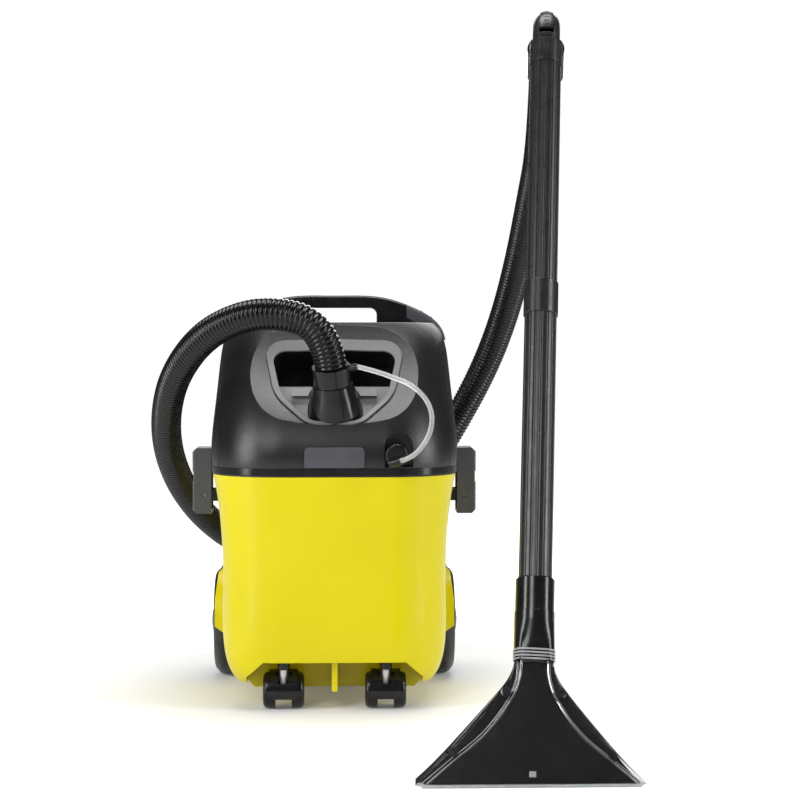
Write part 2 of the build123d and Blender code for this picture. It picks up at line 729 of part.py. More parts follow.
def hose_cuff():
    """The black cuff on the hose's end, with a flared skirt."""
    with BuildPart() as made:
        with BuildSketch(Plane.XZ):
            with BuildLine():
                Polyline((CUFF_BORE_R, -TAIL_LENGTH), (CUFF_R, -TAIL_LENGTH), (CUFF_R, -6),
                         (CUFF_SKIRT_R, -6), (CUFF_SKIRT_R, -2))
                Spline((CUFF_SKIRT_R, -2), (29.5, 14), (CUFF_R + 1.5, 34), tangents=[(-0.2, 1), (-0.2, 1)])
                Polyline((CUFF_R + 1.5, 34), (CUFF_R, 35.5), (CUFF_R, CUFF_LENGTH), (CUFF_BORE_R, CUFF_LENGTH),
                         (CUFF_BORE_R, -TAIL_LENGTH))
            make_face()
        revolve(axis=Axis.Z)
    cuff = Location(socket_plane()) * made.part
    boss_end = Vector(*SPRAY_ROUTE[-1])
    boss_start = SOCKET_BASE + SOCKET_AXIS.normalized() * (CUFF_LENGTH - 6)
    boss = rod(SPRAY_BOSS_R, boss_start + (boss_end - boss_start).normalized() * (CUFF_BORE_R + 2), boss_end)
    return cuff + boss


def suction_duct():
    """The elbow that takes the suction air from the socket down to the tub's port."""
    start = socket_plane(-TAIL_LENGTH - 0.3).origin
    return ring(16.5, 14, start, (0, -125, 272))


def exit_along(route):
    """Where a route starts and which way it sets off."""
    start, after = Vector(*route[0]), Vector(*route[1])
    return start, (after - start).normalized()


def spray_coupling():
    """The round quick coupling in the front cover's pocket, with its hose stub."""
    knob = rod(COUPLING_R, COUPLING_AT + Vector(0, 24, 0), COUPLING_AT + Vector(0, -9, 0))
    rim = knob.edges().filter_by(GeomType.CIRCLE).group_by(Axis.Y)[0]
    knob = fillet(rim, 3)
    start, along = exit_along(SPRAY_ROUTE)
    stub = rod(4.6, start - along * 14, start)
    return knob + stub


def bend_radii(route):
    """One arc for each inner point: 0.45 of its shorter run over the tangent of half its turn."""
    radii = []
    for before, here, after in zip(route, route[1:], route[2:]):
        arriving = Vector(*here) - Vector(*before)
        leaving = Vector(*after) - Vector(*here)
        half_turn = radians(arriving.get_angle(leaving)) / 2
        radii.append(0.45 * min(arriving.length, leaving.length) / tan(half_turn))
    return radii


def tube(route, outer, inner, name, first=0, last=None):
    """A hollow tube along part of a route of straight runs and tangent arcs."""
    radii = bend_radii(route)
    path = FilletPolyline(*route, radius=radii)
    if last is not None:
        edges = path.edges()
        path = Wire(edges[first:last])
    profile = Plane(origin=path @ 0, z_dir=path % 0) * (Circle(outer) - Circle(inner))
    made = sweep(profile, path)
    area = pi * (outer ** 2 - inner ** 2)
    print(name, "length", round(path.length), "volume over section times length",
          round(made.volume / (area * path.length), 4), "radii", [round(r) for r in radii])
    return made


def hose_parts():
    """The hose in two stretches that meet in the middle of a run at the machine's left."""
    split = (Vector(*HOSE_ROUTE[HOSE_SPLIT]) + Vector(*HOSE_ROUTE[HOSE_SPLIT + 1])) * 0.5
    upper = [*HOSE_ROUTE[:HOSE_SPLIT + 1], tuple(split)]
    lower = [tuple(split), *HOSE_ROUTE[HOSE_SPLIT + 1:], tuple(cuff_end())]
    first = Vector(*SOCKET_BASE) + SOCKET_AXIS.normalized() * CUFF_LENGTH
    return [tuple(first), *upper], lower


def wand_place(twist=0.0):
    """The wand's own frame: X level to the right, Y to the back, Z up it, turned by twist."""
    return Location(square_plane(WAND_FOOT, WAND_AXIS)) * Rot(0, 0, twist)


def on_wand(shape, twist=0.0):
    """Places a shape made in the wand's own frame."""
    return wand_place(twist) * shape


def nozzle_outline(grow, low, high):
    """The nozzle's front outline: wide at the floor, narrowing in a curve to the neck."""
    points = [(x + grow, z) for x, z in NOZZLE_SIDE]
    with BuildSketch(Plane.XZ) as made:
        with BuildLine():
            Spline(*points)
            Line(points[-1], (-points[-1][0], points[-1][1]))
            Spline(*[(-x, z) for x, z in reversed(points)])
            Polyline((-points[0][0], 0), (-points[0][0], -16), (points[0][0], -16), (points[0][0], 0))
        make_face()
    return extrude(made.sketch, high - low).moved(Location((0, high, 0)))


def above_floor(shape):
    """What of a wand piece stands above the floor."""
    return shape & block((-600, 800), (-1200, 600), (0, 2000))


def nozzle_back():
    """The nozzle's black rear plate, with the neck's lower half ring and screw bosses."""
    plate = nozzle_outline(0, 0, 5)
    plate &= block((-200, 200), (-10, 20), (-20, NECK_LOW + 3))
    for x, z in nozzle_screw_places():
        plate += rod(4.5, (x, 0, z), (x, -10.5, z))
        plate -= rod(1.6, (x, 6, z), (x, -12, z))
    return above_floor(on_wand(plate))


def nozzle_screw_places():
    """The four screws' places on the nozzle, across and up it."""
    return [(28, 92), (-28, 92), (80.5, 27.5), (-80.5, 27.5)]


def nozzle_cover():
    """The clear cover: a hollow shell whose open mouth meets the floor."""
    shell = nozzle_outline(0, -15, -0.2) - nozzle_outline(-2.6, -12.4, 0)
    shell &= block((-200, 200), (-16, 0), (-20, NECK_LOW + 3))
    for x, z in nozzle_screw_places():
        shell -= rod(4.8, (x, 0, z), (x, -11, z))
        shell -= rod(1.7, (x, -9, z), (x, -20, z))
    for side in (1, -1):
        ridge = Pos(side * 41, -16.2, 60) * Rot(0, side * -38, 0) * Box(2.2, 2.6, 118)
        shell += ridge & nozzle_outline(-3, -18, -14) & block((-200, 200), (-20, 0), (4, NECK_LOW))
    return biggest(above_floor(on_wand(shell)))


def nozzle_screws():
    """The four pan-head screws that hold the cover on."""
    screws = []
    for x, z in nozzle_screw_places():
        head = rod(3.6, (x, -17.2, z), (x, -15, z))
        slot = block((x - 3.2, x + 3.2), (-18, -16.4), (z - 0.4, z + 0.4))
        screws.append((head - slot) + rod(1.5, (x, -15, z), (x, 1, z)))
    return Compound(children=[s for screw in screws for s in on_wand(screw).solids()])


def spray_jet():
    """The fan jet low on the cover's middle, which sprays ahead of the suction lip."""
    jet = rod(2.4, (0, -17.5, 7.5), (0, -15, 7.5)) + block((-3.4, 3.4), (-16.4, -15), (4.6, 10.4))
    jet -= block((-1.6, 1.6), (-19, -16.9), (7.1, 7.9))
    return on_wand(jet)


def nozzle_neck():
    """The tapering neck that joins the nozzle to the tube, with its fine ribs."""
    lower = Plane((0, -5, NECK_LOW + 3.2)) * RectangleRounded(42, 27, 9)
    upper = Plane((0, 0, NECK_LOW + 46)) * Circle(21)
    inside_low = Plane((0, -6, NECK_LOW + 3)) * RectangleRounded(35, 14, 6)
    inside_high = Plane((0, 0, NECK_LOW + 46)) * Circle(TUBE_BORE_R)
    neck = loft([lower, upper]) - loft([inside_low, inside_high])
    neck += ring(21, TUBE_BORE_R, (0, 0, NECK_LOW + 46), (0, 0, NECK_LOW + 56))
    neck += ring(20.4, TUBE_R + 0.05, (0, 0, NECK_LOW + 56), (0, 0, NECK_TOP))
    top_rims = neck.edges().filter_by(GeomType.CIRCLE).group_by(Axis.Z)[-1]
    return on_wand(chamfer(top_rims.sort_by(SortBy.RADIUS)[-1], 1.5))


def fluted_tube(low, high):
    """A stretch of wand tube with shallow flutes all round."""
    outline = Circle(TUBE_R) - PolarLocations(TUBE_R + 1.3, 16) * Circle(2.1) - Circle(TUBE_BORE_R)
    return on_wand(Pos(0, 0, low) * extrude(outline, high - low))


def tube_sleeve():
    """The plain sleeve where the two tubes plug together."""
    sleeve = ring(TUBE_R + 1.4, TUBE_R + 0.02, (0, 0, SLEEVE_LOW), (0, 0, SLEEVE_TOP))
    return on_wand(chamfer(sleeve.edges().filter_by(GeomType.CIRCLE).sort_by(SortBy.RADIUS)[-2:], 0.8))


def handle_path():
    """The grip's middle line: up the wand, then over and back."""
    return FilletPolyline((0, 0, COLLAR_TOP), (0, 0, ELBOW_S), (0, *GRIP_END), radius=ELBOW_R)


def elbow_centre():
    """The middle of the grip's bend, as its Y and its place up the wand."""
    start, corner, end = Vector(0, COLLAR_TOP), Vector(0, ELBOW_S), Vector(*GRIP_END)
    half_turn = radians((corner - start).get_angle(end - corner)) / 2
    return ELBOW_R, ELBOW_S - ELBOW_R * tan(half_turn)


def on_elbow(radius, angle):
    """A point round the grip's bend, from level at the front towards the top."""
    y, s = elbow_centre()
    return y - radius * cos(radians(angle)), s + radius * sin(radians(angle))


def trigger_pin(radius, reach):
    """A bar across the grip on the trigger's axis."""
    y, s = on_elbow(TRIGGER_PIVOT_R, TRIGGER_PIVOT_ANGLE)
    return rod(radius, (-reach, y, s), (reach, y, s))


def handle_body():
    """The hollow elbow of the grip, with the trigger's slot and a release pad in its front."""
    path = handle_path()
    section = Plane(origin=path @ 0, z_dir=path % 0)
    grip = sweep(section * Circle(GRIP_R), path) - sweep(section * Circle(GRIP_BORE_R), path)
    pad = block((-5, 5), (-GRIP_R - 0.8, -GRIP_R + 1.5), (847.5, 852.5))
    grip += pad
    grip -= block((-8, 8), (-30, TRIGGER_BACK_Y + 0.5), (TRIGGER_SLOT_LOW, ELBOW_S + 30))
    grip -= trigger_pin(TRIGGER_PIN_R + RUNNING, 11.5)
    return on_wand(grip, HANDLE_TWIST)


def handle_collar():
    """The union nut between the upper tube and the grip."""
    nut = ring(COLLAR_R, TUBE_R + 0.02, (0, 0, COLLAR_LOW), (0, 0, COLLAR_TOP - 4))
    nut += ring(COLLAR_R, GRIP_BORE_R, (0, 0, COLLAR_TOP - 4), (0, 0, COLLAR_TOP))
    grooved = Circle(COLLAR_R + 2) - PolarLocations(COLLAR_R + 0.8, 20) * Circle(1.2)
    middle = Pos(0, 0, COLLAR_LOW + 3) * extrude(grooved, COLLAR_TOP - COLLAR_LOW - 10)
    ends = nut - block((-30, 30), (-30, 30), (COLLAR_LOW + 3, COLLAR_TOP - 7))
    return on_wand((nut & middle) + ends)


def trigger():
    """The ridged thumb lever that opens the spray valve, with its pivot."""
    path = handle_path()
    section = Plane(origin=path @ 0, z_dir=path % 0)
    skin = sweep(section * Circle(GRIP_R + 1.2), path) - sweep(section * Circle(GRIP_BORE_R + 0.4), path)
    lever = biggest(skin & block((-7.5, 7.5), (-30, TRIGGER_BACK_Y), (TRIGGER_LOW, ELBOW_S + 30)))
    for step in range(7):
        y, s = on_elbow(ELBOW_R + GRIP_R + 1.6, 10 + 9 * step)
        lever -= rod(0.9, (-9, y, s), (9, y, s))
    y, s = on_elbow(TRIGGER_PIVOT_R, TRIGGER_PIVOT_ANGLE)
    lug = block((-3, 3), (-2.6, 2.6), (0, 4.5))
    lever += Pos(0, y, s) * Rot(90 - TRIGGER_PIVOT_ANGLE, 0, 0) * lug
    lever += rod(2.6, (-3, y, s), (3, y, s))
    return on_wand(lever + trigger_pin(TRIGGER_PIN_R, 11), HANDLE_TWIST)


def grip_axis():
    """Where the grip's rear end is and which way it points, in the machine's frame."""
    plane = Plane(wand_place(HANDLE_TWIST))
    end = plane.from_local_coords(Vector(0, *GRIP_END))
    path = handle_path()
    away = plane.from_local_coords(Vector(0, *GRIP_END) + Vector(*(path % 1))) - end
    return end, away.normalized()


def cuff_end():
    """Where the hose meets the wand's cuff."""
    end, away = grip_axis()
    return end + away * 34


def hose_wand_cuff():
    """The cuff that holds the hose's far end on the grip."""
    end, away = grip_axis()
    cuff = ring(22, GRIP_R + 0.05, end - away * 14, end)
    return cuff + ring(22, HOSE_BORE_R - 1.5, end, end + away * 34)


def wand_spray_pipe():
    """The thin pipe inside the tubes that feeds the jet."""
    return on_wand(ring(3, 1.6, (0, 10, NECK_LOW + 58), (0, 10, COLLAR_TOP - 6)))


def spray_valve():
    """The valve in the grip that the trigger opens."""
    return on_wand(rod(5, (0, 3, COLLAR_TOP - 5.8), (0, 3, COLLAR_TOP + 12)))


def motor_housing():
    """The sound-damping pot that stands on the base plate round the motor."""
    x, y = MOTOR_AT
    pot = ring(66, 62, (x, y, HEAD_LOW_Z), (x, y, 404))
    pot += ring(66, 24, (x, y, HEAD_LOW_Z), (x, y, HEAD_LOW_Z + 4))
    pot -= block((x - 30, x + 30), (y + 40, y + 90), (340, 392))
    return pot


def motor():
    """The motor's can on its pot lid, over the fan."""
    x, y = MOTOR_AT
    can = ring(MOTOR_R, AXLE_R + RUNNING, (x, y, 346), (x, y, 412))
    can += ring(62, AXLE_R + RUNNING, (x, y, 404.2), (x, y, 408))
    return can


def fan_rotor():
    """The suction fan with its curved blades, on the motor's shaft."""
    x, y = MOTOR_AT
    rotor = rod(AXLE_R, (x, y, 304), (x, y, 418))
    rotor += ring(ROTOR_R, AXLE_R - 1, (x, y, 310), (x, y, 312.5))
    rotor += ring(ROTOR_R, 20, (x, y, 328), (x, y, 330))
    blade = ring(30, 28.4, (x + 26, y + 14, 311), (x + 26, y + 14, 329))
    blade &= rod(ROTOR_R - 1, (x, y, 300), (x, y, 340))
    blade -= rod(12, (x, y, 300), (x, y, 340))
    blade -= block((x - 200, x + 26), (y + 14, y + 200), (300, 340))
    for turn in range(7):
        rotor += Pos(x, y, 0) * Rot(0, 0, turn * 360 / 7) * Pos(-x, -y, 0) * blade
    return biggest(rotor)


def pump():
    """The small vibrating pump that sends water to the coupling."""
    x, y = PUMP_AT
    body = block((x - 16, x + 16), (y - 60, y - 2), (HEAD_LOW_Z, 334))
    body = fillet(body.edges().filter_by(Axis.Y), 6)
    body += rod(6, (x, y - 84, 314), (x, y - 60, 314))
    return body + rod(5, (x, y - 2, 314), (x, y + 12, 314))


def float_cage():
    """The slotted cage under the base plate that holds the float."""
    cage = ring(28, 25.6, (0, 0, 226), (0, 0, HEAD_LOW_Z - 5)) + rod(28, (0, 0, 223), (0, 0, 226))
    for turn in range(3):
        cage -= Rot(0, 0, turn * 60) * block((-40, 40), (-7, 7), (232, 274))
    return cage


def float_ball():
    """The float that rises with the dirty water and shuts the motor's port."""
    ball = rod(20, (0, 0, 226.2), (0, 0, 246))
    return fillet(ball.edges(), 6)


def head_screws():
    """The screws that hold the covers on the base plate."""
    screws = []
    for x, y in ((-118, -128), (118, -128), (-126, 120), (126, 120)):
        screw = rod(4, (x, y, HEAD_LOW_Z - 7.6), (x, y, HEAD_LOW_Z - 5))
        screws.append(screw + rod(1.8, (x, y, HEAD_LOW_Z - 5), (x, y, HEAD_LOW_Z + 10)))
    return Compound(children=[s for screw in screws for s in screw.solids()])


def hose_upper():
    """The hose's stretch that lifts off with the head."""
    return tube(hose_parts()[0], HOSE_R, HOSE_BORE_R, "hose_upper")


def hose_lower():
    """The hose's stretch from the machine's left side, round its back, to the wand."""
    return tube(hose_parts()[1], HOSE_R, HOSE_BORE_R, "hose_lower")


def spray_tube():
    """The clear spray tube from the coupling to the hose's cuff."""
    return tube(SPRAY_ROUTE, SPRAY_R, SPRAY_BORE_R, "spray_tube")


def lower_tube():
    """The wand's lower tube, from the neck to the sleeve's middle."""
    return fluted_tube(NECK_LOW + 56.2, (SLEEVE_LOW + SLEEVE_TOP) / 2)


def upper_tube():
    """The wand's upper tube, from the sleeve's middle into the collar."""
    return fluted_tube((SLEEVE_LOW + SLEEVE_TOP) / 2, COLLAR_TOP - 4.2)


def head_covers():
    """The front and rear covers, which share one form."""
    form = head_cover_form()
    return front_cover(form), rear_cover(form)


SIDES = {"left": -1, "right": 1}
SINGLE_PIECES = [
    tub_shell, clean_water_tank, tank_strainer, latch_brackets, latch_pins, rear_axle, caster_sockets,
    base_plate, rim_seal, carry_handle, switch_panels, front_plate, exhaust_grille, cable_gland,
    socket_shield, socket_well, socket_insert, hose_cuff, suction_duct, spray_coupling, spray_tube,
    hose_upper, hose_lower, motor_housing, motor, fan_rotor, pump, float_cage, float_ball, head_screws,
    nozzle_back, nozzle_cover, nozzle_screws, spray_jet, nozzle_neck, lower_tube, tube_sleeve,
    upper_tube, handle_collar, handle_body, trigger, spray_valve, wand_spray_pipe, hose_wand_cuff,
]
PAIRED_PIECES = [latch, rear_wheel, hub_cap, caster_hood, caster_stem, caster_wheels, rocker]


def main():
    """Makes and writes every piece."""
    os.makedirs("parts", exist_ok=True)
    for make in SINGLE_PIECES:
        write(make.__name__, make())
    for make in PAIRED_PIECES:
        for side, sign in SIDES.items():
            write(f"{make.__name__}_{side}", make(sign))
    for name, cover in zip(("front_cover", "rear_cover"), head_covers()):
        write(name, cover)


if __name__ == "__main__":
    main()
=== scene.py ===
from math import cos, pi, radians, sin, sqrt

import bmesh
import bpy
from mathutils import Matrix, Vector


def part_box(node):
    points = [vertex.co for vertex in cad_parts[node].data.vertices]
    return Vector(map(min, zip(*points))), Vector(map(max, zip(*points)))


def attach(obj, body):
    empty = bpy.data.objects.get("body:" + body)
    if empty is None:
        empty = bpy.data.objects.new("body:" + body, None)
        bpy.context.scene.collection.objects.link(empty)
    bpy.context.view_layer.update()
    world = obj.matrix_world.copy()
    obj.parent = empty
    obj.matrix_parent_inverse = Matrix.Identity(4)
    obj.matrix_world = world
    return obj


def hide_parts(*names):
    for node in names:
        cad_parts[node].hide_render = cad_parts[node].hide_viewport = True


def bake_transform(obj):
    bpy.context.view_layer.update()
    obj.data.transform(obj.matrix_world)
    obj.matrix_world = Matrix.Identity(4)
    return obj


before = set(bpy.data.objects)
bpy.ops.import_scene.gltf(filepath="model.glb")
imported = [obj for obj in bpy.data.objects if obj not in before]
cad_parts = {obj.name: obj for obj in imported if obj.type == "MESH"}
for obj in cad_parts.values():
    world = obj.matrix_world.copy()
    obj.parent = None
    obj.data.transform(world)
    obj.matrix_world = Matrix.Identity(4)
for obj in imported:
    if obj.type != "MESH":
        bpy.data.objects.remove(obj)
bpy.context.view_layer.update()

# Everything is in metres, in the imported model's own frame. MM turns a size in millimetres to metres.
MM = 0.001

# Where the machine's own middle stands in the frame: the cords' routes are given about it.
MACHINE = Vector((-67.2, 195.0, 0.0)) * MM

# Camera: 2.57 m in front of the machine's middle, a little over half the wand's height, and turned
# slightly to the wand and down.
CAMERA_AT = MACHINE + Vector((0, -2574, 454)) * MM
CAMERA_LENS = 90.0
CAMERA_SENSOR = 36.0
CAMERA_DOWN = 1.86
CAMERA_RIGHT = 1.88

# Suction hose: its outer size, its ribs, and the points that its line is drawn through.
HOSE_R = 19.5 * MM
RIB_PITCH = 5.6 * MM
RIB_DEPTH = 2.3 * MM
RIB_STEPS = 8
HOSE_SIDES = 36
LINE_STEPS = 24
CUFF_LENGTH = 57.0
SOCKET_BASE = Vector((1, -150, 363))
SOCKET_AXIS = Vector((-0.09, -0.33, 0.94))
HOSE_ROUTE = [
    (-8, -178, 440),
    (-29, -187, 471),
    (-72, -181, 481),
    (-114, -160, 476),
    (-162, -118, 452),
    (-201, -54, 404),
    (-219, 20, 350),
    (-221, 92, 297),
    (-208, 162, 246),
    (-180, 225, 198),
    (-134, 275, 157),
    (-50, 304, 137),
    (45, 315, 172),
    (124, 308, 244),
    (175, 282, 332),
    (212, 246, 407),
    (235, 192, 478),
    (249, 116, 555),
    (256, 26, 629),
    (261, -56, 692),
]

# Clear spray tube.
SPRAY_R = 3.0 * MM
SPRAY_STEP = 2 * MM
SPRAY_SIDES = 20
SPRAY_ROUTE = [
    (78, -214, 305),
    (90, -219, 309),
    (102, -221, 320),
    (113, -222, 338),
    (116, -221, 360),
    (108, -216, 380),
    (90, -208, 396),
    (69, -199, 404),
    (49, -191, 411),
    (28, -181, 416),
]

# Nozzle: the half width of its outline and of its raised duct, at heights up the wand, in mm.
OUTLINE = [(0, 117), (25, 93), (58, 65), (91, 37.5), (103, 28.5), (113, 23.2), (126, 19.5)]
DUCT = [(0, 112), (23, 84), (51, 50.5), (85, 25), (106, 17), (124, 15.5)]
COVER_TOP = 124.0
FLANGE_Y = -3.4
DUCT_Y = -14.8
WALL_W = 3.4
# Where the painted highlight bands lie, as shares of WALL_W from the middle of each duct wall, on both
# sides.
WALL_EDGES = (0.30, 0.45)
WALL_STEPS = (0.9, 0.6, 0.45, 0.3, 0.15, 0, -0.15, -0.3, -0.45, -0.6, -0.9)
INNER_STEPS = (0.85, 0.65, 0.45, 0.22)
COVER_THICK = 2.0 * MM
COVER_ROWS = 60
EDGE_GAP = 1.5
LIP_LIFT = 0.6
SCREW_PLACES = [(29.5, 92), (-29.5, 92), (80.5, 27.5), (-80.5, 27.5)]
SCREW_PROFILE = [(0, -2.6), (1.6, -2.55), (2.9, -2.1), (3.6, -1.3), (3.8, 0), (1.6, 0), (1.6, 6), (0, 6)]
SCREW_SIDES = 24
CROSS_REACH = 2.9
CROSS_DEPTH = 1.1
CROSS_ARM = 0.3
HEAD_DEPTH = 2.0

# Neck: its half width, and its half depth and place forward, which both grow from NECK_FROM upward.
BEAD_HEIGHTS = (125.2, 128.5, 131.8, 135.2)
BEAD_R = 1.0
BEAD_SIDES = 10
NECK_FROM = 124.0
NECK_RISE = 43.0
NECK_HALF_W = 21.0
NECK_HALF_D = 13.5
NECK_GROWTH = 7.5
NECK_FORWARD = 5.0
NECK_SQUARENESS = 3.2
NECK_SIDES = 64

# Floor and light: the floor's own glow near and far and where it grows, how much of it lights the
# object, and the studio's soft boxes (name, place, aim, size, watts).
FLOOR_GLOW = (0.10, 0.95)
FLOOR_FADE = (0.35, 2.2)
FLOOR_LIGHT = 0.2
FLOOR_REACH = 40.0
FLOOR_DROP = 0.5 * MM
WORLD_LIGHT = 0.10
WORLD_SEEN = 1.02
SOFTBOXES = [
    ("left_box", (-2.1, -1.1, 1.0), (0, 0, 0.35), (0.5, 1.8), 36),
    ("right_box", (2.2, -0.9, 1.0), (0, 0, 0.35), (0.5, 1.8), 34),
    ("front_box", (-1.1, -2.6, 2.1), (0, 0, 0.2), (0.9, 0.9), 26),
    ("top_box", (0, 0.2, 2.3), (0, 0, 0.2), (1.6, 0.9), 32),
    ("back_box", (0.3, 2.4, 1.5), (0, 0, 0.4), (1.6, 1.2), 24),
]


# ---------------------------------------------------------------- helpers

def on_machine(point):
    """A point given in mm about the machine's middle, in the frame."""
    return Vector(point) * MM + MACHINE


def middle(node):
    """The middle of a CAD node's box."""
    low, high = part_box(node)
    return (low + high) / 2


def cubic(table, at):
    """A smooth value between the (place, value) pairs of a table."""
    count = len(table)
    index = max(0, min(count - 2, sum(1 for place, _ in table if place <= at) - 1))
    (x0, y0), (x1, y1) = table[index], table[index + 1]

    def slope(k):
        low, high = table[max(0, k - 1)], table[min(count - 1, k + 1)]
        return (high[1] - low[1]) / (high[0] - low[0])

    span = x1 - x0
    t = max(0.0, min(1.0, (at - x0) / span))
    rise = slope(index) * span * (t ** 3 - 2 * t ** 2 + t) + slope(index + 1) * span * (t ** 3 - t ** 2)
    return y0 * (2 * t ** 3 - 3 * t ** 2 + 1) + y1 * (3 * t ** 2 - 2 * t ** 3) + rise


def smooth(value):
    """A soft step from 0 to 1."""
    value = max(0.0, min(1.0, value))
    return value * value * (3 - 2 * value)


def wand_frame():
    """The wand's own frame: on the floor, X level to the right, Y to the back, Z up the tubes."""
    low, high = middle("lower_tube"), middle("upper_tube")
    up = (high - low).normalized()
    foot = low - up * (low.z / up.z)
    right = (Vector((1, 0, 0)) - up * up.x).normalized()
    back = up.cross(right)
    return Matrix.Translation(foot) @ Matrix((right, back, up)).transposed().to_4x4()


WAND = wand_frame()


def on_wand(x, y, z):
    """A point given in mm in the wand's frame."""
    return WAND @ (Vector((x, y, z)) * MM)


def make_object(name, mesh):
    """A new object for a mesh or curve."""
    thing = bpy.data.objects.new(name, mesh)
    bpy.context.scene.collection.objects.link(thing)
    return thing


def make_mesh(name, points, faces, soft=True):
    """A new mesh object from points and faces."""
    mesh = bpy.data.meshes.new(name)
    mesh.from_pydata([tuple(p) for p in points], [], faces)
    mesh.validate()
    mesh.update()
    for face in mesh.polygons:
        face.use_smooth = soft
    return make_object(name, mesh)


def finish_piece(piece, body, slot, material, *replaced):
    """Gives a piece its body and material, and hides the CAD nodes that it stands for; its slot is not
    used.
    """
    if material is not None:
        piece.data.materials.append(material)
    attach(piece, body)
    if replaced:
        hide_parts(*replaced)
    return piece


def outward(piece):
    """Turns all faces of a closed piece outwards."""
    mesh = bmesh.new()
    mesh.from_mesh(piece.data)
    bmesh.ops.recalc_face_normals(mesh, faces=mesh.faces)
    mesh.to_mesh(piece.data)
    mesh.free()


# ---------------------------------------------------------------- camera

def make_camera():
    """The camera of the main view."""
    data = bpy.data.cameras.new("camera")
    data.lens = CAMERA_LENS
    data.sensor_width = CAMERA_SENSOR
    camera = make_object("camera", data)
    camera.location = CAMERA_AT
    camera.rotation_euler = (radians(90 - CAMERA_DOWN), 0, radians(-CAMERA_RIGHT))
    bpy.context.scene.camera = camera


make_camera()


# ---------------------------------------------------------------- materials

class Surface:
    """A material's node tree, with short calls for the nodes that the surfaces here need."""

    def __init__(self, name):
        self.material = bpy.data.materials.new(name)
        self.material.use_nodes = True
        self.tree = self.material.node_tree
        self.shader = self.tree.nodes["Principled BSDF"]
        self.place = self.node("ShaderNodeTexCoord").outputs["Object"]
        self.relief = None

    def node(self, kind, **values):
        """A new node with some of its properties set."""
        made = self.tree.nodes.new(kind)
        for key, value in values.items():
            setattr(made, key, value)
        return made

    def link(self, source, target):
        """Joins two sockets."""
        self.tree.links.new(source, target)

    def fix(self, **values):
        """Sets the shader's own sockets; an underscore stands for a space."""
        for key, value in values.items():
            self.shader.inputs[key.replace("_", " ")].default_value = value

    def stretched(self, scale):
        """The surface's place, stretched along its axes."""
        mapping = self.node("ShaderNodeMapping")
        mapping.inputs["Scale"].default_value = scale
        self.link(self.place, mapping.inputs["Vector"])
        return mapping.outputs["Vector"]

    def noise(self, scale, detail=3.0, rough=0.55, place=None):
        """Noise at a scale in features per metre."""
        made = self.node("ShaderNodeTexNoise")
        made.inputs["Scale"].default_value = scale
        made.inputs["Detail"].default_value = detail
        made.inputs["Roughness"].default_value = rough
        self.link(place or self.place, made.inputs["Vector"])
        return made.outputs["Fac"]

    def pits(self, scale):
        """Cells at a scale in cells per metre, as distance from each cell's middle."""
        made = self.node("ShaderNodeTexVoronoi")
        made.inputs["Scale"].default_value = scale
        self.link(self.place, made.inputs["Vector"])
        return made.outputs["Distance"]

    def ranged(self, value, low, high, start=0.3, stop=0.7):
        """A value mapped from start..stop to low..high."""
        made = self.node("ShaderNodeMapRange")
        made.inputs["From Min"].default_value = start
        made.inputs["From Max"].default_value = stop
        made.inputs["To Min"].default_value = low
        made.inputs["To Max"].default_value = high
        self.link(value, made.inputs["Value"])
        return made.outputs["Result"]

    def colours(self, value, low, high, start=0.3, stop=0.7):
        """A colour between two, by a value."""
        made = self.node("ShaderNodeValToRGB")
        made.color_ramp.elements[0].position = start
        made.color_ramp.elements[0].color = (*low, 1)
        made.color_ramp.elements[1].position = stop
        made.color_ramp.elements[1].color = (*high, 1)
        self.link(value, made.inputs["Fac"])
        self.link(made.outputs["Color"], self.shader.inputs["Base Color"])
        return made.outputs["Color"]

    def roughness(self, value, low, high, start=0.3, stop=0.7):
        """Uneven roughness."""
        self.link(self.ranged(value, low, high, start, stop), self.shader.inputs["Roughness"])

    def rounded(self, radius):
        """Edges that catch the light as if rounded."""
        made = self.node("ShaderNodeBevel", samples=4)
        made.inputs["Radius"].default_value = radius
        self.relief = made.outputs["Normal"]
        self.link(self.relief, self.shader.inputs["Normal"])

    def bump(self, height, depth, strength=1.0):
        """Relief of a depth in metres, on top of any that came before."""
        made = self.node("ShaderNodeBump")
        made.inputs["Distance"].default_value = depth
        made.inputs["Strength"].default_value = strength
        self.link(height, made.inputs["Height"])
        if self.relief is not None:
            self.link(self.relief, made.inputs["Normal"])
        self.relief = made.outputs["Normal"]
        self.link(self.relief, self.shader.inputs["Normal"])


def yellow_plastic():
    """Glossy moulded yellow with a faint ripple and cloudy tone."""
    made = Surface("yellow_plastic")
    made.colours(made.noise(7, 1), (0.68, 0.585, 0.0), (0.72, 0.62, 0.001))
    made.roughness(made.noise(60, 4), 0.28, 0.36)
    made.rounded(0.9 * MM)
    made.bump(made.noise(22, 1), 0.00015, 0.4)
    made.bump(made.noise(2600, 2), 0.00001, 0.3)
    made.fix(Specular_IOR_Level=0.25, Coat_Weight=0.08, Coat_Roughness=0.12)
    return made.material


def grained_black():
    """Black with the fine, dull spark grain of the head's covers."""
    made = Surface("grained_black")
    made.colours(made.noise(1500, 3), (0.002, 0.002, 0.0023), (0.010, 0.010, 0.0104), 0.35, 0.75)
    made.roughness(made.noise(700, 3), 0.26, 0.38)
    made.rounded(0.8 * MM)
    made.bump(made.pits(850), 0.00020, 0.7)
    made.bump(made.noise(1700, 2), 0.00008, 0.6)
    made.fix(Specular_IOR_Level=0.6)
    return made.material


def gloss_black():
    """Smooth glossy black with faint wear in its gloss."""
    made = Surface("gloss_black")
    made.colours(made.noise(40, 4), (0.004, 0.004, 0.0045), (0.010, 0.010, 0.0105))
    made.roughness(made.noise(120, 5), 0.14, 0.25)
    made.rounded(0.7 * MM)
    made.bump(made.noise(1800, 2), 0.00002, 0.4)
    made.fix(Specular_IOR_Level=0.3, Coat_Weight=0.12, Coat_Roughness=0.08)
    return made.material


